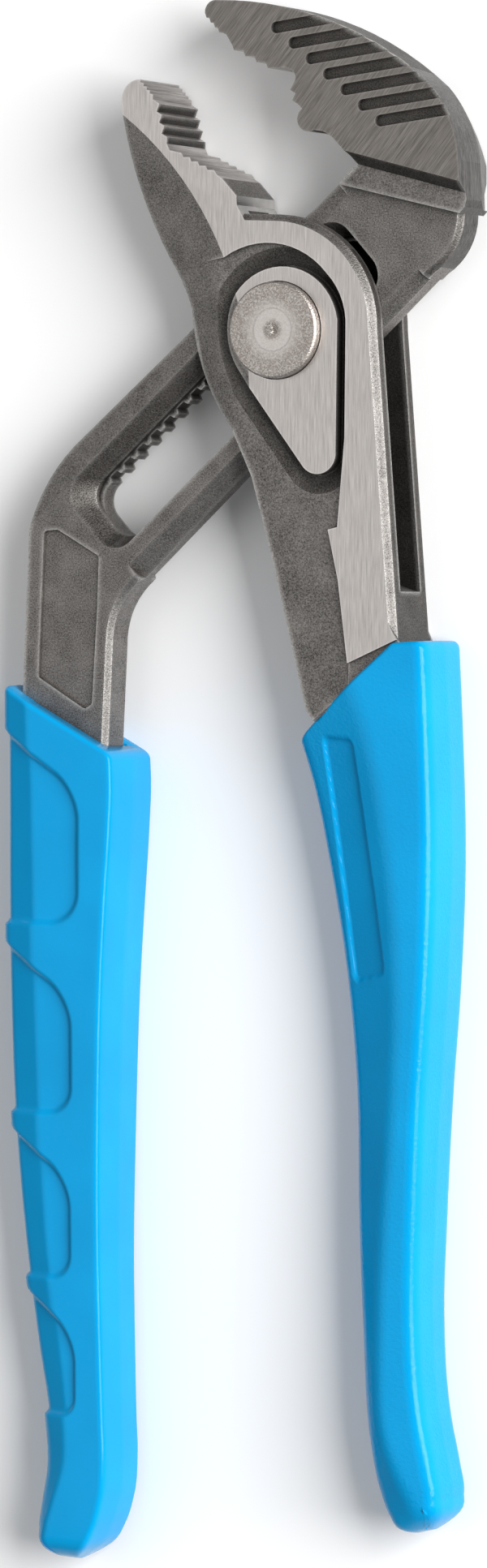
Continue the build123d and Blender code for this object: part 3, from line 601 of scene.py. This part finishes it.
def grip_surface(sections, end_r, corner_cuts, walls, runs, sunk, crown):
    """The skin of one grip as a grid of stations from its mouth to its tip.

    sections holds rows of: left x, y, right x, y, facet width, facet drop, half thickness.
    Every station is a line from left to right that carries an upper line: side, facet,
    front, side. The lower half mirrors it. The mouth turns in over a rounded rim to an
    opening for the steel, with the given left, right and front walls, and the tip falls
    off in a circle of end_r. runs says how many points the side, facet, front and side
    have. sunk gives how far a point at x, y lies under the skin, and crown lifts the mouth
    across its width.
    """
    rows = np.array(sections, float)
    middle = (rows[:, 0:2] + rows[:, 2:4]) / 2
    keys = np.concatenate([[0], np.cumsum(np.linalg.norm(np.diff(middle, axis=0), axis=1))])
    quarter = np.linspace(0, np.pi / 2, QUARTER_POINTS)
    rim = RIM_R * (1 - np.cos(quarter))
    tip = keys[-1] - end_r * (1 - np.cos(quarter[::-1]))
    body = np.linspace(RIM_R, keys[-1] - end_r, int((keys[-1] - end_r - RIM_R) / STEP))
    outer = np.concatenate([rim, body[1:-1], tip])
    outer_count = len(outer)
    at = np.concatenate([MOUTH_STATIONS, outer])
    value = smooth_through(keys, rows, at)
    left, right = value[:, 0:2], value[:, 2:4]
    width = np.linalg.norm(right - left, axis=1)
    facet, drop, half = value[:, 4], value[:, 5], value[:, 6]

    inset, front_inset = quarter_drop(at, RIM_R), quarter_drop(at, RIM_FRONT_R)
    from_tip = np.clip(end_r - (keys[-1] - at), 0, end_r)
    shrink = np.sqrt(np.maximum(1 - (from_tip / end_r) ** 2, 0.0004))
    top = (half - front_inset) * shrink
    drop = np.minimum(drop * shrink, top * DROP_MOST)
    low, high = inset, width - inset
    facet = np.clip(facet, inset + FACET_LEAST, width * FACET_MOST)
    mouth = slice(0, len(MOUTH_STATIONS))
    low[mouth] = walls[0] - MOUTH_FLARE
    high[mouth] = width[mouth] - walls[1] + MOUTH_FLARE
    top[mouth] = half[mouth] - walls[2] + MOUTH_FLARE
    drop[mouth] = np.minimum(drop, top * DROP_MOST)[mouth]

    flat = np.zeros_like(top)
    draft = SIDE_DRAFT * np.minimum(top / GRIP_HALF, 1)
    corners = np.stack([
        np.stack([low, flat], 1), np.stack([low + draft, top - drop], 1), np.stack([facet, top], 1),
        np.stack([high - draft, top], 1), np.stack([high, flat], 1),
    ], 1)
    tight = np.minimum(1, np.minimum(top, high - low) / FULL_CUTS)
    cuts = [cut * tight for cut in corner_cuts]
    upper = rounded_line(corners, cuts, runs, TURN_POINTS)
    loop = np.concatenate([upper, (upper * (1, -1))[:, -2:0:-1]], axis=1)
    across = (right - left) / width[:, None]
    share = loop[..., 0] / width[:, None]
    plan = left[:, None] + across[:, None] * loop[..., 0:1]
    lift = crown(share) * (1 - ease(at / CROWN_FADE))[:, None]
    grid = np.stack([plan[..., 0], plan[..., 1] + lift, MID_Z + loop[..., 1]], -1)

    skin = grid[-outer_count:]
    along = np.gradient(skin, axis=0)
    round_it = np.roll(skin, -1, axis=1) - np.roll(skin, 1, axis=1)
    normal = np.cross(along, round_it)
    normal /= np.maximum(np.linalg.norm(normal, axis=-1, keepdims=True), 1e-9)
    outward = np.sign((normal[..., 2] * (skin[..., 2] - MID_Z)).sum())
    grid[-outer_count:] = skin - outward * normal * sunk(skin[..., 0], skin[..., 1])[..., None]
    return grid


POCKET_DEPTH = 0.85
POCKET_WALL = 0.9            # width of the slope round a pocket
LIP_SLOPE = radians(-33)
LIP_ROUNDING = 4.6           # where the lip meets the right wall
# Each pocket's lip passes through x, y. Then come its right wall's x, its bottom's y and the
# rounding between them.
POCKETS = (
    ((-45.6, -68.7), -36.3, -97.4, 5.5),
    ((-45.6, -103.9), -37.7, -128.8, 4.5),
    ((-44.4, -134.9), -38.1, -156.1, 4.0),
    ((-42.6, -161.1), -37.4, -178.9, 3.2),
)


def finger_pockets(x, y):
    """How far the finger pockets are sunk at x, y.

    A pocket is open to the left. Its depth depends on the rounded minimum of the distances
    to its slanting lip, its right wall and its bottom.
    """
    sunk = np.zeros_like(x)
    for (lip_x, lip_y), wall, bottom, rounding in POCKETS:
        to_lip = (x - lip_x) * sin(LIP_SLOPE) - (y - lip_y) * cos(LIP_SLOPE)
        inside = rounded_min(rounded_min(to_lip, wall - x, LIP_ROUNDING), y - bottom, rounding)
        sunk = np.maximum(sunk, POCKET_DEPTH * ease(inside / POCKET_WALL))
    return sunk


PANEL_CORNERS = np.array([(7.2, -65.8), (13.5, -66.2), (19.4, -104.2), (12.4, -105.8)])
PANEL_DEPTH = 0.6
PANEL_WALL = 0.4
PANEL_ROUNDING = 1.3


def plain_panel(x, y):
    """How far the recessed panel is sunk at x, y, from the distances to its four sides."""
    inside = np.full_like(x, 1e3)
    for start, end in zip(PANEL_CORNERS, np.roll(PANEL_CORNERS, -1, axis=0)):
        side = (end - start) / np.linalg.norm(end - start)
        to_side = (x - start[0]) * side[1] - (y - start[1]) * side[0]
        inside = rounded_min(inside, to_side, PANEL_ROUNDING)
    return PANEL_DEPTH * ease(inside / PANEL_WALL)


def level(share):
    """The left grip's mouth is straight."""
    return np.zeros_like(share)


def peaked(share):
    """The right grip's mouth rises evenly to a blunt corner and falls to its right side."""
    return rounded_min(0.35 + 4.5 * share, 15.1 * (1 - share), 1.4)


# Left x, y, right x, y, facet width, facet drop and half thickness, from the mouth to the tip.
LEFT_SECTIONS = (
    (-52.2, -57.3, -30.2, -69.3, 6.7, 2.1, GRIP_HALF),
    (-52.2, -64.0, -30.0, -74.0, 6.7, 2.1, GRIP_HALF),
    (-52.2, -76.0, -30.3, -82.0, 6.7, 2.1, GRIP_HALF),
    (-52.2, -92.0, -31.2, -95.0, 6.9, 2.1, GRIP_HALF),
    (-52.1, -106.0, -31.9, -107.0, 6.9, 2.1, GRIP_HALF - 0.1),
    (-51.2, -131.0, -32.6, -131.0, 6.8, 2.1, GRIP_HALF - 0.4),
    (-49.3, -152.0, -32.8, -152.0, 6.1, 2.1, GRIP_HALF - 0.8),
    (-47.2, -168.0, -32.5, -168.0, 6.2, 2.3, GRIP_HALF - 1.0),
    (-45.4, -179.5, -32.2, -179.5, 5.5, 2.4, GRIP_HALF - 1.1),
    (-44.9, -187.0, -32.0, -186.0, 5.0, 2.4, GRIP_HALF - 1.1),
    (-45.8, -194.0, -32.6, -192.5, 3.7, 2.1, GRIP_HALF - 1.1),
    (-46.1, -197.6, -34.2, -197.4, 2.7, 1.7, GRIP_HALF - 1.2),
    (-45.4, -200.7, -36.6, -201.0, 1.8, 1.0, GRIP_HALF - 1.4),
    (-43.0, -202.8, -39.6, -203.0, 1.2, 0.4, GRIP_HALF - 1.6),
)
RIGHT_SECTIONS = (
    (2.0, -66.9, 26.9, -50.3, 13.4, 3.6, GRIP_HALF),
    (4.5, -75.0, 27.7, -66.0, 13.4, 4.0, GRIP_HALF),
    (7.3, -88.0, 28.2, -84.0, 13.0, 4.3, GRIP_HALF),
    (10.4, -107.0, 27.4, -107.0, 11.0, 4.4, GRIP_HALF - 0.1),
    (11.8, -122.0, 26.3, -122.0, 9.1, 4.2, GRIP_HALF - 0.3),
    (12.4, -144.0, 25.2, -144.0, 6.7, 3.6, GRIP_HALF - 0.6),
    (13.2, -161.0, 24.8, -160.0, 4.9, 3.1, GRIP_HALF - 0.9),
    (14.8, -181.0, 26.2, -177.0, 4.3, 2.8, GRIP_HALF - 1.0),
    (16.2, -187.6, 27.7, -184.0, 5.6, 2.8, GRIP_HALF - 1.0),
    (18.2, -192.4, 28.4, -188.6, 6.2, 2.6, GRIP_HALF - 1.1),
    (20.6, -194.7, 27.6, -192.4, 4.8, 1.6, GRIP_HALF - 1.3),
    (22.6, -195.0, 25.4, -194.3, 1.6, 0.5, GRIP_HALF - 1.5),
)

left_skin = grip_surface(
    LEFT_SECTIONS, end_r=3.6, corner_cuts=(2.0, 0.8, 1.0), walls=(3.2, 3.1, 3.6),
    runs=(9, 16, 34, 9), sunk=finger_pockets, crown=level)
grid_piece("left_grip_skin", left_skin, VINYL_SMOOTH, "slot_side", "left_grip")
right_skin = grip_surface(
    RIGHT_SECTIONS, end_r=3.6, corner_cuts=(2.0, 1.6, 2.3), walls=(1.6, 4.9, 0.95),
    runs=(9, 46, 22, 9), sunk=plain_panel, crown=peaked)
grid_piece("right_grip_skin", right_skin, VINYL_GRAINED, "box_side", "right_grip")


# ---------------------------------------------------------------- floor, light and camera
FLOOR_REACH = 3.0            # metres from the middle to each side
VIEW_TURN = radians(27.0)
VIEW_RISE = radians(1.3)
VIEW_AIM = Vector((-4.05, -73.6, 18.34)) * MM
VIEW_DISTANCE = 1099.3 * MM
VIEW_LENS = 155.6
LAMP_TARGET = Vector((0, -0.07, 0))
WORLD_STRENGTH = 0.30


def add_floor():
    material, tree, shader = new_material("pale_floor", Roughness=0.9, Specular_IOR_Level=0.1)
    clouds = noise(tree, object_place(tree), 1.5)
    wire(tree, shader, tint(tree, clouds, (0.92, 0.92, 0.92, 1), (0.95, 0.95, 0.95, 1)))
    signs = ((-1, -1), (1, -1), (1, 1), (-1, 1))
    corners = [(x * FLOOR_REACH, y * FLOOR_REACH, 0) for x, y in signs]
    mesh = bpy.data.meshes.new("floor")
    mesh.from_pydata(corners, [], [(0, 1, 2, 3)])
    mesh.materials.append(material)
    floor = bpy.data.objects.new("floor", mesh)
    scene.collection.objects.link(floor)


def add_soft_box(name, place, size, power):
    """A square area light at place, turned towards the middle of the tool."""
    data = bpy.data.lights.new(name, "AREA")
    data.size = size
    data.energy = power
    lamp = bpy.data.objects.new(name, data)
    lamp.location = place
    lamp.rotation_euler = (LAMP_TARGET - Vector(place)).to_track_quat("-Z", "Y").to_euler()
    scene.collection.objects.link(lamp)


def add_camera():
    """Looks at the front from the right: VIEW_TURN round and VIEW_RISE towards the jaws."""
    outward = Vector((sin(VIEW_TURN), 0, cos(VIEW_TURN)))
    toward = outward * cos(VIEW_RISE) + Vector((0, sin(VIEW_RISE), 0))
    right = Vector((cos(VIEW_TURN), 0, -sin(VIEW_TURN)))
    up = toward.cross(right)
    data = bpy.data.cameras.new("camera")
    data.lens = VIEW_LENS
    camera = bpy.data.objects.new("camera", data)
    axes = Matrix((right, up, toward)).transposed()
    camera.matrix_world = Matrix.Translation(VIEW_AIM + toward * VIEW_DISTANCE) @ axes.to_4x4()
    scene.collection.objects.link(camera)
    scene.camera = camera


add_floor()
add_soft_box("key", (1.45, 0.20, 0.86), size=1.2, power=52.0)
add_soft_box("overhead", (-0.50, 0.02, 0.95), size=0.95, power=2.0)
add_camera()

world = bpy.data.worlds.new("studio")
world.use_nodes = True
background = world.node_tree.nodes["Background"].inputs
background["Color"].default_value = (1, 1, 1, 1)
background["Strength"].default_value = WORLD_STRENGTH
scene.world = world
scene.view_settings.view_transform = "Standard"
